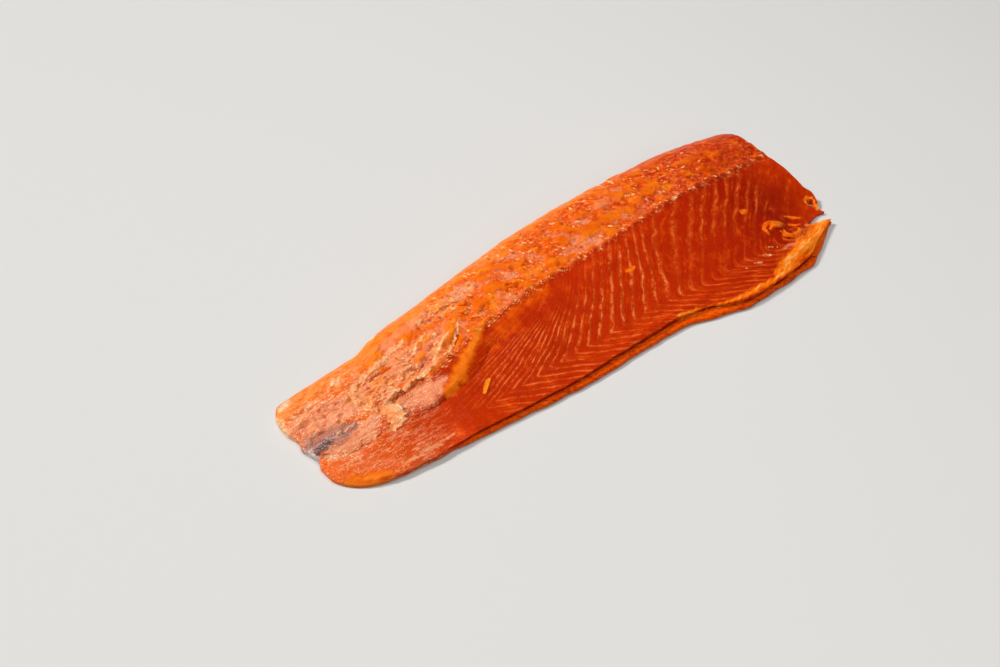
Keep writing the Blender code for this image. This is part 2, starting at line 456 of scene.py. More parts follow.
def flesh_height(x, y):
    """Height over the floor at (x, y), and how far the place is inside the edges, 0 to 1."""
    _, lip, seam, back, crest, loin, lip_height = edges(x)
    up_belly = np.clip((y - lip) / (seam - lip), 0, 1)
    rise = 0.45 * up_belly + 0.55 * up_belly**2 * (3 - 2 * up_belly)
    belly_side = lip_height + (crest - lip_height) * rise
    from_back = np.clip((back - y) / (back - seam), 0, 1)
    loin_side = crest + (loin - crest) * 4 * from_back * (1 - from_back)
    rounding = (1 - (1 - from_back) ** BACK_ROUNDNESS) ** BACK_FULLNESS
    plain = np.where(y < seam, belly_side, loin_side * rounding)
    inside = smoothstep(from_back, 0, BACK_RIM_SHARE) * smoothstep(up_belly, 0, LIP_RIM_SHARE)
    shaped = np.maximum(plain + relief(x, y, seam) * inside, np.minimum(plain, THIN_RIM))
    return shaped, inside


middle_height, _ = flesh_height(np.array(0.0), np.array(30.0))
print("height at the middle", float(middle_height.round(1)), "mm")

# %% [markdown]
# ## The muscle lines
# A fillet's muscle is stacked in leaves with a thin pale sheet of fat between each two. Cut
# lengthwise, the sheets show as lines that run down the belly wall towards the tail, turn at a
# bend, and run back towards the head. To find which line a place is on, the place is slid down
# its line to the bend, a small step at a time, and the distance along the bend then counts the
# lines. That follows any set of slopes, which a formula for a zigzag would not.

# %% Muscle lines
LINE_PITCH = 12.5
TRACE_STEPS = 24
BEND = np.array(((-140, -49), (40, -51.5), (80, -58), (260, -62)))
# x, then how far a line leans along the side as it climbs
LEAN = np.array(
    (
        (-140, 3.4), (-100, 3.0), (-70, 2.1), (-50, 1.55), (-30, 1.2), (0, 0.95), (30, 0.85),
        (60, 0.88), (100, 1.0), (150, 1.15), (200, 1.28), (262, 1.3),
    )
)
LEAN_BACK, LEAN_BELOW = 0.8, -2.1
BEND_WIDENS, BEND_WIDTHS = (50, 85), (1.2, 7.0)
FLATTER, FLAT_ACROSS, FLAT_ALONG = 0.8, (-30, -8), (-60, -15)


def line_lean(x, y, seam):
    """How far a muscle line moves along the side for each millimetre that it climbs."""
    bend = np.interp(x, *BEND.T)
    width = np.interp(x, BEND_WIDENS, BEND_WIDTHS)
    belly = np.interp(x, *LEAN.T)
    flat = smoothstep(y, *FLAT_ACROSS) * (1 - smoothstep(x, *FLAT_ALONG))
    belly = belly * (1 + FLATTER * flat)
    above = np.where(y > seam, LEAN_BACK, belly)
    side = smoothstep(y - bend, -width, width)
    return above * side + LEAN_BELOW * (1 - side)


def muscle_line(x, y):
    """The number of the muscle line at a place; whole numbers are on a line."""
    seam = smooth_table(SECTIONS, x)[..., 1]
    drop = (y - np.interp(x, *BEND.T)) / TRACE_STEPS
    along, at = x.copy(), y.copy()
    for _ in range(TRACE_STEPS):
        along = along - line_lean(along, at, seam) * drop
        at = at - drop
    return along / LINE_PITCH


print("about", round((HEAD_TIP - TAIL_TIP) / LINE_PITCH), "muscle lines")

# %% [markdown]
# ## Marks
# Ridges, torn strips, slits and smears of fat are strokes: a line through a few points, with a
# half width, and a height that it adds to the surface. Each stroke belongs to a kind of tissue, or
# to painted shade that darkens slits, hollows, the foot of the knife's step, the ground under a
# torn ridge and beside the curled flaps, and a broad patch at the head end. So the same list shapes
# the mesh and tells the material where to colour it. Painting them by hand on an image would need a
# picture file, and it would give no relief.

# %% Strokes
# kind of tissue or painted shade: (height, half width, x and y of each place)
STROKES = {
    "cream": [
        (0.2, 4.2, -249, 40, -239, 48), (0.2, 3.4, -259, 10, -258, 24, -254, 38),
        (0.2, 2.8, -157, 58, -151, 63), (0.3, 3.6, -208, 34, -200, 39),
    ],
    "peach": [
        (0.7, 2.0, -195, -8, -187, -4, -176, -3, -163, -2.5, -149, -1.5, -137, 0.5),
        (0.5, 1.1, -194, -1, -187, 0.5, -180, 0.5), (0.6, 1.4, -202, 4, -202.5, -3, -200, -8),
        (0.8, 2.5, -192, 26, -197, 23, -203, 19, -206, 12, -204, 9),
        (0.5, 3.4, -190, 25, -176, 26, -166, 31, -156, 34, -145, 35),
        (0.4, 0.8, -238, -6.5, -222, -5.5, -208, -3.5),
        (0.5, 2.0, -150, -2, -138, 4, -128, 12, -116, 18), (0.2, 0.8, 126, -63, 131, -67),
        (0.2, 0.8, 140, -65, 147, -69), (0.2, 0.8, 153, -63, 161, -68),
        (0.2, 0.8, 164, -57, 174, -64),
    ],
    "curl": [
        (1.3, 2.2, 176.5, -48, 177.5, -43, 182, -40.5, 190, -41, 197, -44, 202, -48),
        (0.9, 1.6, 182, -47.5, 186, -45, 192, -46.5),
        (1.0, 2.0, 193, -52, 191.5, -56, 194, -60, 200, -62, 208, -60, 212, -55),
        (0.5, 1.5, 208, -47, 214, -50, 220, -52), (0.5, 1.3, 212, -38, 220, -42, 228, -45),
    ],
    "pink": [
        (0.3, 2.2, 174, -66, 186, -69, 200, -67), (0.2, 1.6, 210, -52, 217, -60, 220, -70),
        (0.2, 1.8, 222, -54, 230, -60, 236, -68), (0.0, 7.0, -165, 38, -150, 42),
        (0.0, 9.0, -250, 13, -225, 13, -212, 8), (0.0, 8.0, -238, -17, -212, -14),
        (0.2, 8.0, -188, 11, -168, 12, -158, 19), (0.2, 7.5, -186, -15, -165, -16, -150, -15),
        (0.0, 7.0, -206, 35, -200, 38), (0.1, 6.5, -150, 45, -115, 43),
        (0.1, 5.5, 6, 25, 25, 23, 44, 20), (0.0, 5.0, 68, 52, 84, 55),
        (0.0, 6.0, -92, 50, -70, 52),
    ],
    "amber": [
        (1.2, 4.8, -153, 9, -140, 15), (1.1, 3.8, -143, 22, -130, 23),
        (1.3, 6.2, -130, 10, -116, 17, -100, 27, -88, 34), (0.9, 4.0, -176, 33, -162, 38),
        (0.3, 7.2, -151, -25, -137, -18, -124, -11, -114, -4),
        (0.3, 4.4, -124, -9, -110, -2, -100, 4, -90, 8), (0.6, 7.0, -75, 16, -66, 27),
        (0.8, 4.4, -48, 25, -24, 25, -4, 24), (0.5, 4.4, -58, 53, -47, 54),
        (0.5, 4.8, -34, 60, -20, 59), (0.5, 5.0, -12, 46, -3, 45), (0.4, 3.0, 28, 29, 36, 30),
        (0.4, 2.8, 43, 28, 50, 29), (0.3, 1.8, 38, -16, 47, -16), (0.4, 3.8, 98, 42, 108, 43),
        (0.4, 4.8, 134, 36, 147, 38), (0.2, 2.6, 174, -20, 181, -18),
        (0.2, 6.0, -190, 49, -166, 53, -150, 60), (0.1, 3.6, -238, 51, -214, 52, -190, 52),
        (0.2, 5.0, -250, -40, -238, -48, -222, -54), (0.2, 3.4, 186, -44, 200, -46),
        (0.3, 1.8, -129, -38, -119, -32),
    ],
    "warm": [
        (0.0, 8.5, -100, -12, -84, -5, -68, 0, -56, 4), (0.0, 5.5, -52, 2, -38, 4, -24, 8),
    ],
    "fat": [
        (0.3, 2.2, 44, -68, 55, -71, 70, -75, 85, -80),
        (0.3, 2.8, 85, -80, 100, -84, 130, -86.5, 157, -86),
        (0.3, 6.5, 145, -84, 175, -79, 205, -74),
        (0.4, 9.0, 180, -77, 210, -71, 228, -65, 246, -57), (0.0, 3.0, 252, -46, 256, -38),
        (0.3, 1.4, 247, -38, 248, -33, 253, -31, 258, -34, 258, -39),
    ],
    # painted shade, not a tissue: dark red laid into slits and hollows, under the long torn ridge,
    # along the foot of the knife's step and beside the curled flaps; the last stroke only darkens a
    # broad patch at the head end
    "deep": [
        (-0.9, 1.1, -188, 19, -178, 19.5, -166, 21), (-1.3, 2.2, -122, 5, -116, 10, -109, 15),
        (-0.8, 1.2, -134, -2, -124, 1), (-0.5, 0.7, -236, -23.5, -216, -24),
        (-0.8, 0.9, -213, -24, -202, -24.3), (-0.5, 1.5, -188, -8, -173, -6.5, -158, -5.5),
        (-0.6, 0.9, -158, 4.0, -145, 4.6),
        (-0.5, 1.0, -182, -27.5, -154, -28, -125, -24.5, -108, -15.5, -86, -6),
        (-0.6, 2.0, 182, -51, 190, -49.5, 198, -52, 206, -50), (-0.5, 1.6, 210, -44, 222, -43),
        (0.0, 13.0, 212, -16, 230, -16),
    ],
    "grey": [(0.0, 9.0, -270, -3, -248, -4, -232, -6, -220, -6)],
    "dark": [(0.0, 5.0, -266, -9, -250, -9, -238, -8)],
    "silver": [(0.3, 2.6, -257, 1, -255, -6, -254, -14)],
    "strip": [(0.2, 3.6, -212, -52.5, -190, -54, -168, -53)],
    "granular": [
        (0.0, 15.0, -208, 9, -192, 10, -175, 9), (0.0, 13.0, -175, 10, -150, 12, -120, 20),
        (0.0, 8.0, -130, 44, -100, 42, -70, 48),
    ],
    "frosted": [
        (0.0, 15.0, -262, 14, -235, 13, -205, 10), (0.0, 10.0, -246, -18, -225, -17, -205, -14),
        (0.0, 8.5, -192, -16, -165, -17, -146, -14),
    ],
}
WARP, WARP_PITCH = 1.8, 6.0
THIN_END = 0.35
MARK_FADE = 0.9
SMOOTH_KINDS = ("amber", "fat", "curl")


def stroke_distance(x, y, places, half_width):
    """Distance to the line through the places, in half widths that taper to both ends."""
    legs = list(zip(places, places[1:]))
    lengths = [math.dist(a, b) for a, b in legs]
    nearest, run = np.full(np.shape(x), np.inf), 0
    for ((ax, ay), (bx, by)), length in zip(legs, lengths):
        t = np.clip(((x - ax) * (bx - ax) + (y - ay) * (by - ay)) / length**2, 0, 1)
        away = np.hypot(x - ax - t * (bx - ax), y - ay - t * (by - ay))
        passed = (run + t * length) / sum(lengths)
        width = half_width * (THIN_END + (1 - THIN_END) * np.sqrt(np.sin(np.pi * passed)))
        nearest = np.minimum(nearest, away / width)
        run += length
    return nearest


def strokes(x, y):
    """How strongly each kind of tissue or painted shade is marked at each place, and the height it
    adds.
    """
    bent_x = x + WARP * waves(x, y, WARP_PITCH, 21.5)
    bent_y = y + WARP * waves(x, y, WARP_PITCH, 22.5)
    smooth = (bent_x, bent_y), 1
    ragged_place = bent_x + waves(x, y, 2.4, 25.5), bent_y + waves(x, y, 2.4, 26.5)
    torn = 0.75 + 0.9 * waves(x, y, 3.1, 23.5) + 0.5 * waves(x, y, 1.7, 24.5)
    marks, height = {}, np.zeros(np.shape(x))
    for kind, drawn in STROKES.items():
        marks[kind] = np.zeros(np.shape(x))
        place, unevenness = smooth if kind in SMOOTH_KINDS else (ragged_place, torn)
        for rise, half_width, *numbers in drawn:
            places = list(zip(numbers[::2], numbers[1::2]))
            away = stroke_distance(*place, places, half_width)
            marks[kind] = np.maximum(marks[kind], np.exp(-MARK_FADE * away**2))
            height = height + rise * np.exp(-(away**2)) * unevenness
    return marks, height


print(sum(len(drawn) for drawn in STROKES.values()), "strokes")

# %% [markdown]
# The rest of the fine relief has no fixed place: each leaf of muscle is slightly crowned between
# its lines, the loin is crumbly, and the tail is fibrous along its length.

# %% Fine relief
LEAF_CROWN = 0.3
CRUMBLE = 1.3
BLOB_HEIGHT, BLOB_PITCH = 1.7, 8.0
BLOB_GRAIN = np.array((0.743, -0.669))
TAIL_FIBRE = 0.5
RUBBLE = 0.75
SEAM_FLAKE = 0.55
END_ROUNDING, END_DIP = 2.4, 0.38
LOWEST_FLESH = 1.5
TAIL_X, TAIL_Y = np.array(TAIL_END).T
# where along or across the side a mark comes in or goes out, from and to
LINES_BEGIN, LINES_END, PALE_END = (-160, -100), (195, 225), (35, 90)
BALD_ALONG, BALD_ACROSS, SEAM_GAP = (-15, 50), (-24, -8), (-14, -3)
BARE_ALONG, BARE_LOW, BARE_HIGH = (60, 95), (-62, -52), (-32, -16)
TAIL_PART, RUBBLE_BEGIN = (-200, -150), (-224, -206)
FLAKES_BEGIN, CRUMBS_END, BACK_RIM = (-110, -80), (110, 235), (34, 4)
MARK_SPAN = 10


def blobs(x, y):
    """Smooth lumps of dried fat between crumbs of torn muscle, from 0 to 1."""
    along = BLOB_GRAIN[0] * x + BLOB_GRAIN[1] * y
    across = BLOB_GRAIN[0] * y - BLOB_GRAIN[1] * x
    field = waves(along / 1.5, across, BLOB_PITCH, 51.5) + 0.4 * waves(x, y, 4, 52.5)
    return smoothstep(field, -0.02, 0.3)


def tissue(x, y):
    """Marks for the material at each place, and the fine relief in millimetres."""
    _, lip, seam, back, _, _, _ = edges(x)
    marks, height = strokes(x, y)
    line = muscle_line(x, y) + 0.22 * waves(x, y, 17, 31.5) + 0.1 * waves(x, y, 6, 32.5)
    belly = 1 - smoothstep(y - seam, -3, 2)
    marks["line"] = line
    marks["loin"] = smoothstep(y - seam + 3 * waves(x, y, 5, 33.5), -2.5, 1.5)
    lined = smoothstep(x, *LINES_BEGIN) * (1 - 0.75 * smoothstep(x, *LINES_END))
    bald = smoothstep(y, *BALD_ACROSS) * (1 - smoothstep(x, *BALD_ALONG))
    lined = lined * (1 - 0.9 * bald) * (1 - 0.6 * smoothstep(y - seam, *SEAM_GAP))
    lower = 1 - smoothstep(y - np.interp(x, *BEND.T), -3, 2)
    bare = smoothstep(x, *BARE_ALONG) * smoothstep(y, *BARE_LOW) * (1 - smoothstep(y, *BARE_HIGH))
    marks["lower"] = lower
    marks["pale"] = 1 - 0.7 * smoothstep(x, *PALE_END)
    marks["lined"] = lined * (belly + 0.18 * (1 - belly)) * (1 - 0.75 * bare)
    marks["crumbly"] = (
        smoothstep(y, seam - 2, seam + 3)
        * (1 - 0.85 * smoothstep(y, back - 26, back - 6))
        * (1 - 0.6 * smoothstep(x, *CRUMBS_END))
    )
    marks["tail"] = 1 - smoothstep(x + 10 * waves(x, y, 22, 35.5), *TAIL_PART)
    marks["seam"] = (y - seam) / MARK_SPAN
    # distance from the lip; the material paints the belly's lower layer below it brighter, as
    # painted light
    marks["lip"] = (y - lip) / MARK_SPAN
    # the back edge, which the material paints bright orange as rim light
    marks["edge"] = smoothstep(back - y, *BACK_RIM)
    away = np.abs(line - np.round(line)) * LINE_PITCH
    crown = LEAF_CROWN * (smoothstep(away, 0, 2.6) - 0.5) * marks["lined"]
    ridge = 0.34 * np.exp(-((away / 0.8) ** 2)) * marks["lined"]
    marks["blob"] = blobs(x, y)
    crumble = CRUMBLE * (waves(x, y, 3.4, 41.5) + 0.5 * waves(x, y, 1.9, 42.5))
    crumble = crumble * (1 - 0.8 * marks["blob"]) + BLOB_HEIGHT * marks["blob"]
    fibre = TAIL_FIBRE * waves(x / 4, y, 2.2, 43.5)
    lumps = (0.3 + 0.6 * marks["loin"]) * waves(x, y, 7, 44.5)
    flake = SEAM_FLAKE * np.clip(waves(x, y, 6.5, 45.5) * 1.8, -0.3, 1)
    flake = flake * np.exp(-(((y - seam) / 3.2) ** 2)) * smoothstep(x, *FLAKES_BEGIN)
    crags = 0.5 - 2.4 * np.abs(waves(x / 3, y, 6.5, 46.5)) + 1.0 * waves(x / 2, y, 2.6, 48.5)
    rubble = crags + 0.6 * waves(x, y, 1.8, 47.5)
    rubble = rubble * np.maximum(marks["granular"] - 0.7 * marks["amber"], 0)
    rubble = rubble * (0.25 + 0.75 * smoothstep(x, *RUBBLE_BEGIN))
    fine = crown + ridge + crumble * marks["crumbly"] + fibre * marks["tail"]
    fine = fine + lumps + flake + RUBBLE * rubble
    return marks, height + fine


def end_rounding(x, y):
    """The share of its height that the flesh keeps beside the tail's end."""
    from_tail = np.maximum(x - np.interp(y, TAIL_Y, TAIL_X), 0)
    return 1 - END_DIP * np.exp(-((from_tail / END_ROUNDING) ** 2))


def surface(x, y):
    """The finished height at a place, in millimetres."""
    base, inside = flesh_height(x, y)
    _, fine = tissue(x, y)
    return np.clip(base + fine * inside, LOWEST_FLESH, TOP) * end_rounding(x, y)


print("relief formulas ready")

# %% [markdown]
# ## The mesh
# Each ring runs along the flat underside, up the two layers of the belly edge and over the flesh.
# A grid from bmesh holds the rings, its two long sides are welded, and its ends are closed. The
# loft runs a little past both ends, and a Boolean with a block that has the true outlines
# trims them, torn slit included. It leaves empty material slots behind. They are cleared at once,
# because clearing them later would undo the sorting of the faces.

# %% Rings
RINGS = 430
TORN_SHARE, TORN_END = 0.46, -90
TOP_POINTS, BOTTOM_POINTS, LEDGE_POINTS = 192, 8, 16
FINE_POINTS = 240
LEDGE_HEIGHT, GROOVE_DEPTH = 3.6, 2.6
TOWARDS_BACK = 1.6
PAST_ENDS = 3


def spread(points, count):
    """The same line as points, as count points at equal distances, without its last one."""
    steps = np.linalg.norm(np.diff(points, axis=0), axis=1)
    run = np.concatenate(((0,), np.cumsum(steps)))
    wanted = np.linspace(0, run[-1], count + 1)[:-1]
    return np.stack([np.interp(wanted, run, column) for column in points.T], axis=1)


def ring(x):
    """One cross-section, as (y, z) places, with the plain height of the flesh."""
    across = 1 - (1 - np.linspace(0, 1, FINE_POINTS)) ** TOWARDS_BACK
    belly, lip, _, back, _, _, _ = (float(v) for v in edges(np.array(x)))
    y = lip + (back - lip) * across
    top = np.column_stack((y, flesh_height(x + 0 * y, y)[0]))
    top[-1, 1] = 0
    share = min(1, (lip - belly) / GROOVE_DEPTH)
    high = top[0, 1]
    low = min(LEDGE_HEIGHT, 0.55 * high)
    # round the rim of the lower layer, into the groove above it, and out to the lip
    ledge = np.array(
        (
            (belly + 1.2, 0),
            (belly, 0.35 * low),
            (belly + 0.5, 0.8 * low),
            (belly + 1.6, low),
            (lip + 0.6, low + 0.1),
            (lip + 0.4 + GROOVE_DEPTH * share, low + 0.25 * (high - low)),
            (lip + 0.2, low + 0.45 * (high - low)),
            (lip - 0.3 * share, low + 0.7 * (high - low)),
            (lip, high),
        )
    )
    bottom = np.array(((back, 0), (belly + 1.2, 0)))
    parts = (
        spread(bottom, BOTTOM_POINTS),
        spread(ledge, LEDGE_POINTS),
        spread(top, TOP_POINTS),
    )
    return np.concatenate(parts)


first, last = TAIL_TIP - PAST_ENDS, HEAD_TIP + PAST_ENDS
ring_x = np.interp(np.linspace(0, 1, RINGS), (0, TORN_SHARE, 1), (first, TORN_END, last))
rings = np.stack([ring(x) for x in ring_x])
rings[..., 0] *= min(1, (HIGH[1] - LOW[1]) / np.ptp(rings[..., 0]))
print("rings", rings.shape)

# %% Relief on the rings
TOP_START = BOTTOM_POINTS + LEDGE_POINTS

top_y, top_z = np.moveaxis(rings[:, TOP_START:], -1, 0)
top_x = ring_x[:, None] + 0 * top_y
_, inside = flesh_height(top_x, top_y)
_, fine = tissue(top_x, top_y)
raised = (top_z + fine * inside) * end_rounding(top_x, top_y)
rings[:, TOP_START:, 1] = np.clip(raised, 0, TOP)
print("fine relief from", fine.min().round(2), "to", fine.max().round(2), "mm")

# %% Loft
WELD = 0.01

low_y, high_y = rings[..., 0].min(), rings[..., 0].max()
SHIFT = np.array((LOW[0] - TAIL_TIP, (LOW[1] + HIGH[1] - low_y - high_y) / 2))


def loft(name):
    """A closed mesh through the rings."""
    count = rings.shape[1]
    bm = bmesh.new()
    bmesh.ops.create_grid(bm, x_segments=RINGS - 1, y_segments=count, size=1)
    for vert in bm.verts:
        i = round((vert.co.x + 1) / 2 * (RINGS - 1))
        j = round((vert.co.y + 1) / 2 * count) % count
        y, z = rings[i, j]
        vert.co = Vector((ring_x[i] + SHIFT[0], y + SHIFT[1], z)) * MM
    bmesh.ops.remove_doubles(bm, verts=bm.verts, dist=WELD * MM)
    rims = [e for e in bm.edges if e.is_boundary]
    filled = bmesh.ops.holes_fill(bm, edges=rims, sides=0)
    bmesh.ops.triangulate(bm, faces=filled["faces"])
    bmesh.ops.recalc_face_normals(bm, faces=bm.faces)
    return put_mesh(name, bm)


side = loft("salmon_flesh")
print(len(side.data.polygons), "faces in the loft")

# %% Trim the ends
OUTLINE_STEPS = 6
OUTLINE_SIDE = 115
CUTTER_HALF_HEIGHT = 40
HOLE_CENTRE, HOLE_RADII = (252.5, -36.7), (3.8, 4.0)
HOLE_SEGMENTS = 28


def rounded(points):
    """A smooth line through the points, as OUTLINE_STEPS steps between each two of them."""
    table = np.column_stack((range(len(points)), points))
    steps = OUTLINE_STEPS * (len(points) - 1) + 1
    return smooth_table(table, np.linspace(0, len(points) - 1, steps))


def outline_block():
    """A block whose two ends have the outlines of the side's ends."""
    tail, head = rounded(TAIL_END), rounded(HEAD_END)[::-1]
    back = [(tail[-1][0], OUTLINE_SIDE), (head[0][0], OUTLINE_SIDE)]
    belly = [(head[-1][0], -OUTLINE_SIDE), (tail[0][0], -OUTLINE_SIDE)]
    bm = bmesh.new()
    places = [(x + SHIFT[0], y + SHIFT[1]) for x, y in (*tail, *back, *head, *belly)]
    base = [bm.verts.new(Vector((x, y, -CUTTER_HALF_HEIGHT)) * MM) for x, y in places]
    made = bmesh.ops.extrude_face_region(bm, geom=[bm.faces.new(base)])
    lifted = [v for v in made["geom"] if isinstance(v, bmesh.types.BMVert)]
    bmesh.ops.translate(bm, verts=lifted, vec=(0, 0, 2 * CUTTER_HALF_HEIGHT * MM))
    bmesh.ops.recalc_face_normals(bm, faces=bm.faces)
    return put_mesh("outline_block", bm)


def hole_rod():
    """An oval rod that goes through the small hole at the head end."""
    bm = bmesh.new()
    rod = {"radius1": 1, "radius2": 1, "depth": 2 * CUTTER_HALF_HEIGHT * MM}
    bmesh.ops.create_cone(bm, cap_ends=True, segments=HOLE_SEGMENTS, **rod)
    for vert in bm.verts:
        vert.co.x = (HOLE_CENTRE[0] + HOLE_RADII[0] * vert.co.x + SHIFT[0]) * MM
        vert.co.y = (HOLE_CENTRE[1] + HOLE_RADII[1] * vert.co.y + SHIFT[1]) * MM
    return put_mesh("hole_rod", bm)


def cut_with(obj, tool, operation):
    """Applies a Boolean and removes the tool."""
    cut = obj.modifiers.new("cut", "BOOLEAN")
    cut.operation = operation
    cut.solver = "MANIFOLD"
    cut.object = tool
    done = bpy.data.meshes.new_from_object(
        obj.evaluated_get(bpy.context.evaluated_depsgraph_get())
    )
    obj.modifiers.clear()
    obj.data = done
    bpy.data.objects.remove(tool)


cut_with(side, outline_block(), "INTERSECT")
cut_with(side, hole_rod(), "DIFFERENCE")
side.data.name = "salmon_flesh"
side.data.materials.clear()
print(len(side.data.polygons), "faces after trimming")

# %% [markdown]
# ## Marks on the mesh
# The marks are worked out again at every vertex of the trimmed mesh and stored as attributes. The
# faces are sorted into three finishes: the flat underside, the upright faces that the knife left
# at the head end, and the flesh, which is all the rest.

# %% Attributes
FLESH, UNDERSIDE, HEAD_CUT = range(3)
UNDERSIDE_HEIGHT, UNDERSIDE_TILT = 0.02, -0.9
CUT_TILT = 0.02
CUT_START = np.array((HEAD_TIP - 40, -30))
SHARP_ANGLE = 55


def store(mesh, name, values):
    """Keeps one value for each vertex, which a material reads by name."""
    attribute = mesh.attributes.new(name, "FLOAT", "POINT")
    attribute.data.foreach_set("value", np.array(values, np.float32))


count = len(side.data.vertices)
places = np.empty(3 * count)
side.data.vertices.foreach_get("co", places)
places = places.reshape(-1, 3) / MM
side_marks, _ = tissue(places[:, 0] - SHIFT[0], places[:, 1] - SHIFT[1])
for kind, values in side_marks.items():
    store(side.data, kind, values)

bm = bmesh.new()
bm.from_mesh(side.data)
for face in bm.faces:
    centre = face.calc_center_median() / MM
    at_head = (np.array(centre.xy) - SHIFT > CUT_START).all()
    face.smooth = True
    face.material_index = FLESH
    if face.normal.z < UNDERSIDE_TILT and centre.z < UNDERSIDE_HEIGHT:
        face.material_index = UNDERSIDE
    elif at_head and abs(face.normal.z) < CUT_TILT:
        face.material_index = HEAD_CUT
bm.to_mesh(side.data)
bm.free()
side.data.set_sharp_from_angle(angle=math.radians(SHARP_ANGLE))
sorts = np.bincount([polygon.material_index for polygon in side.data.polygons])
print("marks:", ", ".join(side_marks))
print("flesh, underside and cut faces:", sorts)

# %% [markdown]
# ## The flesh's finish
# Smoked flesh is a deep orange-red that lets some light in, pale where fat runs through it and
# amber where the smoked fat has dried. It is laid on as a painter would: the muscle's own colour
# first, then one thin layer after another. Some layers are painted light and shade: shade in slits,
# pits and towards the muscle lines, light on the belly's lower layer and along the back edge, and
# glints as small white specks. The edges of every layer are broken by noise, because a clean edge
# would look painted. All layers share the same few noises, so they belong together.

# %% Colours
# the whitish colour serves both pale flecks of fat and painted glints, the small highlights of wet
# flesh
CREAM, WHITE_FLECK_AND_GLINT = srgb(250, 190, 134), srgb(255, 236, 206)
PINK, PEACH = srgb(240, 150, 108), srgb(250, 158, 84)
DUSK, DEEP = srgb(218, 92, 44), srgb(156, 24, 0)
AMBER, YELLOW, RIM = srgb(236, 104, 2), srgb(250, 150, 32), srgb(250, 140, 34)
GREY, BLACKISH, SILVER = srgb(170, 116, 104), srgb(60, 46, 50), srgb(222, 206, 200)
GLOW, LINE, LINE_BRIGHT = srgb(234, 88, 0), srgb(228, 88, 10), srgb(246, 146, 82)


def stops(*rows):
    """A ramp's stops, each given as its place and its red, green and blue."""
    return [(at, srgb(*colour)) for at, *colour in rows]


# from the tail's end, 0, to the head's end, 1
BELLY = stops(
    (0.0, 240, 104, 24), (0.1, 222, 76, 0), (0.15, 206, 58, 0), (0.2, 186, 42, 0),
    (0.36, 184, 38, 0), (0.55, 190, 40, 0), (0.75, 172, 30, 0), (0.88, 146, 16, 0),
    (1.0, 194, 46, 0),
)
LOIN = stops(
    (0.0, 248, 132, 50), (0.12, 244, 110, 14), (0.3, 238, 96, 0), (0.5, 230, 84, 0),
    (0.75, 206, 54, 0), (1.0, 180, 34, 0),
)
print(len(BELLY), "stops along the belly and", len(LOIN), "along the loin")

# %% Noises
SPECK, FINE, MIDDLE, BROAD, ZONE = 0.9, 1.3, 3.2, 10.0, 17.0
GRAIN_TURN, FAN_TURN, BITS_TURN = (math.radians(turn) for turn in (-42, 18, -40))
SIDE_LENGTH = (HIGH[0] - LOW[0]) * MM


class Flesh(Recipe):
    """The flesh's recipe, with its colour so far and the noises that the layers share."""

    def __init__(self):
        super().__init__("smoked_flesh")
        self.along = self.axis("X") * (1 / SIDE_LENGTH) + 0.5
        self.fine, self.middle = self.patchy(FINE), self.patchy(MIDDLE)
        self.broad, self.zone = self.patchy(BROAD), self.patchy(ZONE)
        self.speck = self.patchy(SPECK, rough=0.4)
        self.ragged = 0.6 * self.middle + 0.35 * self.fine + 0.25 * self.broad
        self.line = self.mark("line") + 0.07 * self.middle + 0.04 * self.fine
        self.streak = self.flowing(1.8, 0.16)
        self.stripe, self.broken = self.flowing(5, 0.2), self.flowing(4.5, 0.6)
        self.fibres = self.patchy(1.6, self.grained(0, 4.5), 0.6)
        self.grain = self.patchy(2.6, self.grained(GRAIN_TURN, 2.6), 0.62)
        self.fanned = self.patchy(2.2, self.grained(FAN_TURN, 5), 0.55)
        self.colour = None

    def flowing(self, size, squeeze):
        """Noise that runs along the muscle lines."""
        inputs = {"X": self.line * (LINE_PITCH * MM), "Y": self.axis("Y") * squeeze}
        return self.patchy(size, self.node("ShaderNodeCombineXYZ", None, inputs), 0.6)

    def lay(self, colour, share):
        """Adds a layer of the colour, as thick as share says."""
        self.colour = self.mix(self.colour, colour, share)

    def patch(self, kind, noise, low, high):
        """Where a tissue shows: its mark, with edges broken by noise."""
        mark = self.mark(kind)
        return self.step(mark + noise, low, high) * self.step(mark, 0.03, 0.3)


print("noises of", SPECK, FINE, MIDDLE, BROAD, ZONE, "mm")

# %% [markdown]
# The muscle is darker and brighter in soft clouds that follow its leaves, and each leaf is painted
# darker towards its lines, where its crowned relief dips: painted shade. The fat between two leaves
# is a soft bright band with a broken pale core, and thinner bands run beside it.


# %% Muscle and its lines
def muscle(f):
    lined = f.mark("lined")
    f.colour = f.mix(f.ramp(f.along, BELLY), f.ramp(f.along, LOIN), f.mark("loin"))
    part = (f.line + 0.5).fract()
    # painted shade: each leaf darker towards its lines, where its crowned relief dips
    leaf = (f.step(part, 0.5, 0.9) * 0.3 - f.step(part, 0.1, 0.5) * 0.3) * lined
    tone = 0.5 * f.broad + 0.25 * f.streak + 0.45 * f.stripe + 0.2 * f.middle + leaf
    f.lay(DEEP, f.step(tone, 0.02, -0.5) * 0.7)
    f.lay(GLOW, f.step(tone, -0.02, 0.5) * 0.8)


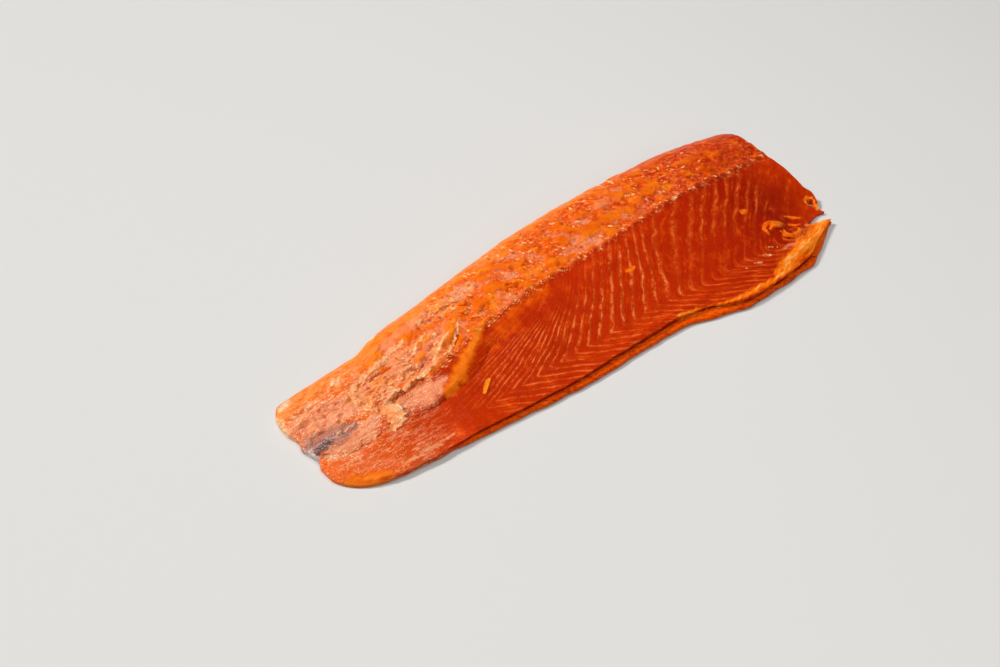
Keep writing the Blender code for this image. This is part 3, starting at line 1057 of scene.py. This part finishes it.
def muscle_bands(f):
    lined, lower, pale = f.mark("lined"), f.mark("lower"), f.mark("pale")
    away = (f.line + 0.5).from_half()
    shown = f.step(f.broken + 0.5 * f.middle + 0.6 * f.broad, -0.16, 0.3) * lined
    band = f.step(away + 0.16 * f.broken + 0.12 * f.streak, 0.32, 0.04)
    f.lay(LINE, band * (0.23 * lined + 0.5 * shown))
    thick = 0.04 + 0.1 * pale
    core = f.step(away + 0.24 * f.streak + 0.16 * f.fine - thick, 0.1, -0.14) * shown
    f.lay(LINE_BRIGHT, core * (0.18 + 0.23 * pale) * (1 - 0.45 * lower))
    dots = f.step(away + 0.3 * f.fine + 0.2 * f.middle, 0.08, -0.08) * pale
    f.lay(CREAM, dots * f.step(shown, 0.5, 1.0) * (0.38 - 0.23 * lower))
    third = (2.5 * f.line).from_half()
    thin = f.step(third + 0.25 * f.streak, 0.2, 0.0) * f.step(f.broken - 0.4 * f.middle, -0.08, 0.3)
    thin = thin * lined * (1 - f.mark("loin")) * f.step(f.along, 0.26, 0.42)
    f.lay(LINE, thin * (0.12 + 0.55 * lower))
    f.lay(LINE_BRIGHT, thin * f.step(third + 0.2 * f.fine, 0.09, -0.04) * lower * 0.2)


print("muscle lines every", LINE_PITCH, "mm")

# %% [markdown]
# The loin is a mosaic: smooth amber lumps of dried fat, and between them crumbly muscle whose
# grain runs slantwise, with pale edges, white specks that are painted glints, and pits darkened as
# painted shade. Its back edge is painted bright orange as rim light.


# %% Loin
def loin_mosaic(f):
    crumbly, blob, loin = f.mark("crumbly"), f.mark("blob"), f.mark("loin")
    gap = crumbly * (1 - blob)
    f.lay(AMBER, blob * f.step(crumbly + 0.7 * f.broad, 0.3, 0.9) * 0.75)
    f.lay(YELLOW, f.step(blob + 0.7 * f.broad + 0.6 * f.middle, 0.8, 1.5) * crumbly * 0.6)
    early = 1 - f.step(f.along, 0.6, 0.85)
    f.lay(PINK, f.step(f.zone + 0.3 * f.grain, 0.0, -0.3) * gap * early * 0.75)
    # painted shade: dark red where the grain is low, which is where the bump sinks the pits
    f.lay(DEEP, f.step(f.grain + 0.4 * f.middle, -0.04, -0.4) * gap * 0.5)
    f.lay(PEACH, f.step(f.grain + 0.6 * f.fine, 0.0, 0.35) * gap * 0.8)
    f.lay(CREAM, f.step(f.grain + 0.8 * f.fine, 0.2, 0.5) * gap * 0.7)
    # white flecks in the gaps, partly painted glints
    f.lay(WHITE_FLECK_AND_GLINT, f.step(f.middle + 1.2 * f.fine, 0.4, 0.65) * gap * 0.6)
    f.lay(GLOW, f.step(f.grain + 0.5 * f.middle, 0.0, 0.4) * loin * 0.7)
    f.lay(PEACH, f.step(f.grain + f.fine, 0.3, 0.65) * loin * (0.2 + 0.4 * crumbly))
    # painted rim light: the back edge painted bright orange, as lit by the key light behind it
    edge = f.mark("edge") * (0.4 + 0.6 * early)
    f.lay(RIM, f.step(edge + 0.5 * f.broad + 0.5 * f.grain, 0.15, 0.85) * 0.7)
    f.lay(GLOW, f.step(f.grain + 0.6 * f.broad, 0.1, -0.35) * f.mark("edge") * 0.7)


print("loin layers ready")

# %% [markdown]
# Towards the tail the muscle turns pink and fibrous, with a frost of fine pale fibres and white
# specks that are painted glints, and where it was torn it is granular, its pits darkened as painted
# shade. Soft zones of pink and amber lie under the fine grains.


# %% Tail
def tail_fibres(f):
    tail, granular = f.mark("tail"), f.mark("granular")
    frosted = f.mark("frosted")
    frost = f.step(granular + frosted + 0.4 * f.broad, 0.0, 0.5)
    frost = frost * f.step(tail + frosted, 0.1, 0.9)
    f.lay(PINK, f.patch("frosted", 0.9 * f.broad + 0.3 * f.middle, 0.1, 1.0) * 0.8)
    f.lay(PEACH, f.step(f.zone + 0.6 * f.broad, 0.0, 0.3) * frosted * 0.5)
    f.lay(DUSK, f.step(f.fibres + 0.9 * f.broad, 0.02, -0.42) * frosted * 0.65)
    f.lay(PINK, f.step(f.fibres + 0.8 * f.broad, -0.1, 0.4) * tail * 0.4)
    f.lay(DUSK, f.step(f.fibres + 0.6 * f.middle, -0.15, -0.5) * tail * 0.6)
    f.lay(PEACH, f.step(f.fibres + f.fine, 0.0, 0.4) * tail * 0.5)
    f.lay(CREAM, f.step(f.fibres + f.fine, 0.12, 0.5) * (0.1 * tail + 0.65 * frost))
    # painted glints: white specks over the frost and the tail
    f.lay(WHITE_FLECK_AND_GLINT, f.step(f.middle + 1.4 * f.fine, 0.26, 0.6) * (0.1 * tail + 0.55 * frost))
    f.lay(WHITE_FLECK_AND_GLINT, f.step(f.speck + 0.4 * f.fibres, 0.08, 0.44) * (0.2 * tail + 0.5 * frost))


def torn_grains(f):
    granular = f.mark("granular")
    grains = 0.5 * f.fine + 0.5 * f.middle + 0.7 * f.fibres
    ground = f.step(granular, 0.1, 0.7) * (1 - f.step(f.mark("amber"), 0.2, 0.7))
    f.lay(PINK, f.step(granular + 0.5 * f.broad, 0.15, 0.8) * 0.85)
    f.lay(RIM, f.step(f.zone + 0.5 * f.broad, 0.02, 0.22) * ground * 0.85)
    f.lay(PEACH, f.step(f.zone - 0.5 * f.broad, 0.0, -0.3) * ground * 0.6)
    inner = ground * f.step(f.along, 0.06, 0.13)
    f.lay(DUSK, f.step(f.broad + 0.6 * f.middle, -0.1, -0.4) * inner * 0.5)
    # painted shade: darker where the grains are low, in the pits of the bump
    f.lay(DUSK, f.step(grains, -0.1, -0.5) * (0.3 * ground + 0.3 * inner))
    f.lay(DEEP, f.step(grains, -0.4, -0.7) * inner * 0.4)
    f.lay(CREAM, f.step(grains, 0.02, 0.34) * ground * 0.75)
    # painted glints: white specks on the tops of the grains
    f.lay(WHITE_FLECK_AND_GLINT, f.step(grains + 0.4 * f.fine, 0.24, 0.56) * ground * 0.75)
    return grains * ground


print("tail layers ready")

# %% [markdown]
# The strokes come next, each kind with its own colours, and last the flecks along the seam, which
# sit in clusters where a muscle line meets it.


# %% Strokes and seam
def stroke_colours(f):
    f.lay(PINK, f.patch("pink", 0.8 * f.ragged, 0.25, 1.0) * 0.45)
    f.lay(GLOW, f.patch("warm", 1.1 * f.broad + 1.3 * f.stripe, 0.15, 1.3) * 0.65)
    f.lay(AMBER, f.patch("warm", 1.1 * f.broad + 1.3 * f.stripe, 0.7, 1.6) * 0.45)
    # painted shade: dark red in the slits and hollows, along the step's foot and under the ridge
    # and curled flaps
    f.lay(DEEP, f.patch("deep", 0.8 * f.ragged, 0.15, 1.0) * 0.75)
    soft = 0.7 * f.broad + 0.3 * f.middle + 0.1 * f.fine
    f.lay(AMBER, f.patch("amber", soft, 0.1, 1.0) * 0.85)
    f.lay(YELLOW, f.patch("amber", soft, 0.45, 1.3) * 0.5)
    f.lay(PEACH, f.patch("amber", soft + 1.2 * f.fine, 1.15, 1.6) * 0.5)
    f.lay(AMBER, f.patch("fat", 0.5 * f.ragged + 0.8 * f.fanned, 0.05, 0.75) * 0.9)
    f.lay(YELLOW, f.patch("fat", 0.4 * f.ragged + 1.5 * f.fanned, 0.45, 1.25) * 0.7)
    f.lay(CREAM, f.patch("fat", 0.6 * f.ragged + 1.8 * f.fanned, 1.0, 1.7) * 0.6)
    f.lay(GLOW, f.patch("curl", f.ragged, 0.1, 0.7) * 0.9)
    f.lay(YELLOW, f.patch("curl", 1.2 * f.ragged, 0.5, 1.1) * 0.6)
    # painted light: the belly's lower layer lies in half shade, so it is painted brighter orange
    ledge = f.step(f.mark("lip"), -0.02, -0.12)
    f.lay(GLOW, ledge * f.step(f.middle + f.streak, -0.5, 0.2) * 0.9)
    f.lay(AMBER, ledge * f.step(f.middle + f.fine, 0.1, 0.6) * 0.4)
    f.lay(GREY, f.patch("grey", 0.9 * f.fibres + 0.3 * f.middle, 0.0, 0.9) * 0.85)
    f.lay(BLACKISH, f.patch("dark", 1.0 * f.fibres + 0.4 * f.middle, 0.1, 1.0) * 0.85)
    f.lay(SILVER, f.patch("grey", 1.5 * f.speck + 0.8 * f.fibres, 0.9, 1.5) * 0.6)
    f.lay(SILVER, f.patch("silver", 1.4 * f.middle + f.fine, 0.4, 0.9) * 0.85)
    f.lay(CREAM, f.patch("strip", 1.2 * f.grain, 0.5, 1.2) * 0.5)
    f.lay(CREAM, f.patch("peach", 1.6 * f.ragged, 0.3, 1.0) * 0.7)
    f.lay(WHITE_FLECK_AND_GLINT, f.patch("peach", 1.6 * f.ragged + 0.8 * f.fine, 0.9, 1.6) * 0.5)
    f.lay(CREAM, f.patch("cream", 1.4 * f.ragged, 0.2, 1.0) * 0.7)
    f.lay(WHITE_FLECK_AND_GLINT, f.patch("cream", 1.4 * f.ragged + 0.6 * f.fine, 0.7, 1.4) * 0.5)


def seam_flecks(f):
    away = (f.line + 0.5).from_half()
    beside = abs(f.mark("seam") + 0.5 * f.broad + 0.12)
    near_line = f.step(away + 0.2 * f.middle, 0.36, 0.1) * (1 - f.mark("tail"))
    bits = f.patchy(3.0, f.grained(BITS_TURN, 2.4), 0.62)
    flecks = f.step(bits + 0.5 * f.fine, -0.02, 0.3) * f.step(beside, 0.5, 0.1)
    f.lay(PEACH, flecks * (0.2 + 0.65 * near_line))
    spots = f.step(bits + 0.9 * f.fine, 0.06, 0.36) * f.step(beside, 0.42, 0.06) * near_line
    f.lay(CREAM, spots * 0.7)
    f.lay(WHITE_FLECK_AND_GLINT, f.step(f.fine + bits, 0.3, 0.6) * spots * 0.8)


print("colours for", len(STROKES), "kinds of stroke")

# %% [markdown]
# The oil doesn't lie evenly. The flesh itself has little gloss, and a thin clear coat shows only in
# spots, which gives the small wet glints of real fish instead of one plastic sheen. Further glints
# are painted into the colour as white specks.


# %% Flesh material
GLOSS_TINT = (1.0, 0.5, 0.14, 1)
SUBSURFACE = {
    "Subsurface Weight": 0.6,
    "Subsurface Radius": (1.0, 0.35, 0.1),
    "Subsurface Scale": 0.004,
}
OIL_COAT = {"Coat Roughness": 0.16, "Coat IOR": 1.35}


def gloss(level, **more):
    """Sockets for a gloss of this level, warm as light in flesh is, and any others."""
    return {"Specular IOR Level": level, "Specular Tint": GLOSS_TINT, **more}


def flesh_finish():
    f = Flesh()
    muscle(f)
    muscle_bands(f)
    loin_mosaic(f)
    tail_fibres(f)
    grains = torn_grains(f)
    stroke_colours(f)
    seam_flecks(f)
    tail, loin = f.mark("tail"), f.mark("loin")
    gap = f.mark("crumbly") * (1 - f.mark("blob"))
    # painted glints: white specks in the loin's gaps
    f.lay(WHITE_FLECK_AND_GLINT, f.step(f.speck + 0.5 * f.middle, 0.34, 0.6) * gap * 0.5)
    coarse = f.step(loin + tail + f.mark("granular"), 0.1, 0.9)
    coarse = coarse * (1 - 0.75 * f.step(f.mark("amber") + f.mark("fat"), 0.2, 0.7))
    height = f.fine * (0.2 + 0.4 * coarse) + 0.4 * f.fibres * tail + 0.8 * f.grain * gap
    height = height + 0.2 * f.streak + 0.35 * grains + f.patchy(0.7) * (0.1 + 0.3 * coarse)
    links = {
        "Base Color": f.colour,
        "Roughness": 0.34 + 0.2 * f.middle,
        "Normal": f.bump(height, 0.8, 1.2),
        "Coat Weight": f.step(f.middle + 0.6 * f.fine, 0.1, 0.5) * (0.25 + 0.35 * coarse),
    }
    return f.finish(links, gloss(0.1, **OIL_COAT, **SUBSURFACE))


print("flesh material ready")

# %% [markdown]
# The skinned underside is smooth and paler, with a grey-brown band of dark muscle where the
# fish's lateral line ran. Where the knife cut the head end off, the leaves show as nested pale
# arcs. Both need few layers, so each is a short recipe of its own.

# %% Underside and head cut
BAND_Y, BAND_EDGES = 0.006, (0.014, 0.005)
ARC_Y, ARC_SLOPE, ARC_PITCH = 0.03, 0.55, 0.0062


def underside_finish():
    """Smooth flesh with faint muscle lines and a grey-brown band along the middle."""
    r = Recipe("skinned_underside")
    soft = r.cloud(12)
    colour = r.mix(srgb(196, 80, 34), srgb(214, 112, 62), soft)
    away = r.mark("line").from_half()
    colour = r.mix(colour, srgb(222, 140, 96), r.step(away, 0.08, 0.02) * 0.6)
    band = r.step(abs(r.axis("Y") - BAND_Y) + 0.012 * (soft - 0.5), *BAND_EDGES)
    colour = r.mix(colour, srgb(112, 72, 54), band * 0.8)
    rough = 0.4 + 0.15 * (soft - 0.5)
    links = {"Base Color": colour, "Roughness": rough, "Normal": r.bump(r.cloud(2), 0.3, 0.5)}
    return r.finish(links, gloss(0.15))


def cut_finish():
    """The faces that the knife left at the head end: deep flesh with nested pale arcs."""
    r = Recipe("cut_flesh")
    grain = r.cloud(3)
    bowed = abs(r.axis("Y") - ARC_Y) * ARC_SLOPE + r.axis("Z")
    away = (bowed * (1 / ARC_PITCH) + 0.5 * r.cloud(14, 2)).from_half()
    colour = r.mix(srgb(176, 40, 2), srgb(210, 70, 12), grain)
    pale = r.step(away + 0.5 * (grain - 0.5), 0.12, 0.0)
    colour = r.mix(colour, srgb(232, 118, 60), pale * 0.6)
    links = {"Base Color": colour, "Normal": r.bump(grain, 0.35, 0.6)}
    return r.finish(links, gloss(0.15, Roughness=0.36))


for finish in (flesh_finish, underside_finish, cut_finish):
    side.data.materials.append(finish())
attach(side, "root")
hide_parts(NODE)
print("finishes:", ", ".join(m.name for m in side.data.materials))

# %% [markdown]
# ## Torn leaves
# Where the dried surface was trimmed off, thin leaves of muscle tore loose. They stand proud of
# the flesh and throw shadows, so each is a strip of its own that follows a line: one long edge is
# held, the other is free and lifted. A displacement of the flesh could not overhang like that.

# %% Torn leaves
LEAF_CELLS, CELL_LENGTH = 10, 0.8
LEAF_THICKNESS, LEAF_SINK = 0.45, 0.4
LEAF_OVER, CHIP_OVER = 0.1, 0.5
LOOK_AHEAD = 0.02
LEAF_TOP = HIGH[2] - 0.6
# places along the leaf, half width, lift of the free edge
TORN_LEAVES = (
    (((-203, -28), (-198, -20), (-196, -13), (-196, -6)), 8.6, 1.0),
    (((-195, -8), (-187, -4), (-176, -3), (-163, -2.5), (-149, -1.5)), 2.4, 0.6),
    (((-207, 10), (-206, 16), (-203, 20), (-197, 24), (-191, 26)), 2.6, 0.6),
    (((-191, 25), (-179, 26), (-168, 30), (-157, 33.5), (-146, 35)), 2.6, 0.5),
    (((-204, 5), (-204, -1), (-202, -7)), 2.0, 0.6),
    (((-152, 17), (-147, 21), (-140, 27), (-128, 31)), 2.2, 0.5),
    (((-134, 2), (-124, 6), (-114, 13), (-106, 21)), 2.0, 0.6),
)
CURLED_LEAVES = (
    (((176, -50), (176, -44), (180, -40), (187, -39), (194, -41)), 2.2, 0.9),
    (((190, -51), (190, -57), (195, -61.5), (203, -62)), 1.7, 0.7),
)
YELLOW_CHIP = (((-130, -39), (-125, -35.5), (-118, -31)), 2.1, 0.6)


def leaf(places, half_width, lift, seed, over=LEAF_OVER):
    """A thin ragged strip along a line, held at its left edge and lifted at its right edge."""
    table = np.column_stack((np.linspace(0, 1, len(places)), places))
    length = sum(math.dist(a, b) for a, b in zip(places, places[1:]))
    cells = max(LEAF_CELLS, round(length / CELL_LENGTH))
    bm = bmesh.new()
    bmesh.ops.create_grid(bm, x_segments=cells, y_segments=LEAF_CELLS, size=1)
    s = np.array([(vert.co.x + 1) / 2 for vert in bm.verts])
    across = np.array([vert.co.y for vert in bm.verts])
    middle = smooth_table(table, s)
    before, after = np.maximum(s - LOOK_AHEAD, 0), np.minimum(s + LOOK_AHEAD, 1)
    ahead = smooth_table(table, after) - smooth_table(table, before)
    ahead /= np.linalg.norm(ahead, axis=1)[:, None]
    torn = 1 + 0.8 * waves(s * length, 9 * np.sign(across), 4.0, seed)
    torn = torn + 0.7 * waves(s * length, 9 * np.sign(across), 1.5, seed + 0.5)
    width = half_width * torn * (0.3 + 0.7 * np.sin(np.pi * s) ** 0.3)
    x = middle[:, 0] - ahead[:, 1] * across * width
    y = middle[:, 1] + ahead[:, 0] * across * width
    free = np.clip((1 - across) / 2, 0, 1) ** 1.6
    crumple = 0.4 * waves(x, y, 2.6, seed + 2) + 0.3 * waves(x, y, 1.3, seed + 3)
    loosened = np.clip(0.5 + 1.8 * waves(s * length, 0 * s, 6.0, seed + 7), 0, 1.3)
    ends = loosened * np.sin(np.pi * s) ** 0.4
    rise = (over + LEAF_SINK) * free**0.3 + (lift * free + crumple * free**0.4) * ends
    z = np.minimum(surface(x, y) - LEAF_SINK + rise, LEAF_TOP)
    loose = bm.verts.layers.float.new("free")
    for vert, *place, how_free in zip(bm.verts, x + SHIFT[0], y + SHIFT[1], z, free):
        vert.co = Vector(place) * MM
        vert[loose] = how_free
    bmesh.ops.recalc_face_normals(bm, faces=bm.faces)
    if sum(face.normal.z for face in bm.faces) < 0:
        bmesh.ops.reverse_faces(bm, faces=bm.faces)
    bmesh.ops.solidify(bm, geom=bm.faces[:], thickness=LEAF_THICKNESS * MM)
    bmesh.ops.recalc_face_normals(bm, faces=bm.faces)
    return bm


def leaf_finish(name, held, middle_colour, pale):
    """The colour of the flesh where the leaf is held, pale along its free edge."""
    r = Recipe(name)
    fine, middle = r.patchy(1.2, rough=0.55), r.patchy(3.4, rough=0.55)
    free = r.mark("free")
    colour = r.mix(held, middle_colour, r.step(free + 1.2 * middle + 0.4 * fine, 0.0, 0.7))
    colour = r.mix(colour, pale, r.step(0.6 * free + middle + 1.4 * fine, 0.45, 1.1) * 0.6)
    links = {"Base Color": colour, "Normal": r.bump(fine + 0.5 * middle, 0.7, 0.8)}
    return r.finish(links, gloss(0.2, Roughness=0.36))


def dress(name, bm, finish):
    """Makes the bmesh a smooth piece with its finish, on the one body."""
    for face in bm.faces:
        face.smooth = True
    made = put_mesh(name, bm)
    made.data.materials.append(finish)
    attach(made, "root")
    return made


torn_finish = leaf_finish("torn_muscle", srgb(238, 132, 78), srgb(248, 166, 104), WHITE_FLECK_AND_GLINT)
curl_finish = leaf_finish("curled_flesh", srgb(214, 66, 0), srgb(236, 96, 4), srgb(250, 146, 50))
chip_finish = leaf_finish("dried_fat", srgb(228, 106, 8), srgb(240, 138, 22), srgb(252, 172, 72))
# name, strips, seed, finish
STRIPS = (
    ("torn_leaf", TORN_LEAVES, 60, torn_finish),
    ("curled_leaf", CURLED_LEAVES, 80, curl_finish),
)
for name, strips, seed, finish in STRIPS:
    for number, strip in enumerate(strips, 1):
        dress(f"{name}_{number}", leaf(*strip, seed + number), finish)
dress("yellow_chip", leaf(*YELLOW_CHIP, seed=90.5, over=CHIP_OVER), chip_finish)
print(len(TORN_LEAVES) + len(CURLED_LEAVES) + 1, "torn leaves and chips")

# %% [markdown]
# ## Crumbs
# The torn surface is strewn with crumbs of muscle and fat, thickest in the hollows between the
# lumps. Each crumb is a small sphere, flattened and made uneven by noise, so hundreds of them
# cost few faces. A particle system would place them too, but its crumbs could not be sorted by
# the marks.

# %% Crumbs
CRUMB_EDGE = 10.0
TRIES = 14
CRUMB_SINK, UNEVENNESS = 0.15, 0.55
SWING, TILT = 0.45, 0.35
LOIN_CRUMBS_END = (120, 240)


def crumb_places(count, low, high, chance, seed):
    """Random places in a rectangle, kept as often as chance says from the marks there."""
    draw = np.random.RandomState(seed)
    x, y = draw.uniform(low, high, (count * TRIES, 2)).T
    belly, _, _, back, _, _, _ = edges(x)
    marks, _ = tissue(x, y)
    inner = (y > belly + CRUMB_EDGE) & (y < back - CRUMB_EDGE)
    kept = inner & (draw.uniform(size=len(x)) < chance(marks, x))
    return x[kept][:count], y[kept][:count]


def crumbs(name, places, sizes, shape, turn, finish, seed):
    """Small uneven lumps that sit in the flesh; sizes and shape are in millimetres."""
    dice = random.Random(seed)
    x, y = places
    bm = bmesh.new()
    tints = []
    for px, py, pz in zip(x, y, surface(x, y)):
        size = dice.uniform(*sizes) * MM
        at = Vector(((px + SHIFT[0]) * MM, (py + SHIFT[1]) * MM, pz * MM - CRUMB_SINK * size))
        angle = turn + dice.gauss(0, SWING)
        spin = Matrix.Rotation(angle, 4, "Z") @ Matrix.Rotation(dice.gauss(0, TILT), 4, "Y")
        grow = Matrix.Diagonal((*(size * part for part in shape), 1))
        made = bmesh.ops.create_icosphere(bm, subdivisions=1, radius=1)
        offset, tint = Vector((dice.random(), dice.random(), dice.random())) * 50, dice.random()
        for vert in made["verts"]:
            vert.co *= 1 + UNEVENNESS * noise.noise(vert.co * 1.3 + offset)
            vert.co = at + (spin @ grow @ vert.co)
            vert.co.z = min(vert.co.z, TOP * MM)
            tints.append(tint)
    piece = dress(name, bm, finish)
    store(piece.data, "tint", tints)
    print(name, len(x), "crumbs,", len(piece.data.polygons), "faces")


def crumb_finish(name, tints):
    """The colours of the crumbs, from the darkest tint to the palest."""
    r = Recipe(name)
    tint = r.mark("tint") + 0.35 * r.patchy(1.4, rough=0.55, detail=3)
    return r.finish({"Base Color": r.ramp(tint, tints)}, gloss(0.25, Roughness=0.42))


TORN_TINTS = ((0.0, AMBER), (0.3, PINK), (0.6, PEACH), (0.95, CREAM))
LOIN_TINTS = ((0.0, GLOW), (0.35, AMBER), (0.65, PEACH), (0.95, CREAM))
torn_crumb_finish = crumb_finish("torn_crumbs", TORN_TINTS)
loin_crumb_finish = crumb_finish("loin_crumbs", LOIN_TINTS)


def on_torn(marks, x):
    return smoothstep(marks["granular"] - marks["amber"], 0.2, 0.8)


def on_loin(marks, x):
    return marks["crumbly"] * (1 - marks["blob"]) * (1 - smoothstep(x, *LOIN_CRUMBS_END))


torn_places = crumb_places(150, low=(-205, -26), high=(-85, 44), chance=on_torn, seed=5)
crumbs(
    "torn_crumbs", torn_places, sizes=(0.6, 1.5), shape=(2.0, 0.9, 0.5), turn=0.1,
    finish=torn_crumb_finish, seed=11,
)
loin_places = crumb_places(300, low=(-110, 0), high=(240, 84), chance=on_loin, seed=6)
crumbs(
    "loin_crumbs", loin_places, sizes=(0.6, 1.6), shape=(2.2, 0.8, 0.5), turn=-0.73,
    finish=loin_crumb_finish, seed=12,
)

# %% [markdown]
# ## The box
# The dressed side has to be as large as the solid that it stands for. Both boxes are printed.

# %% Both boxes
size = {"cad": cad_box, "visual": [list(corner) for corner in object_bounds()]}
print(size)
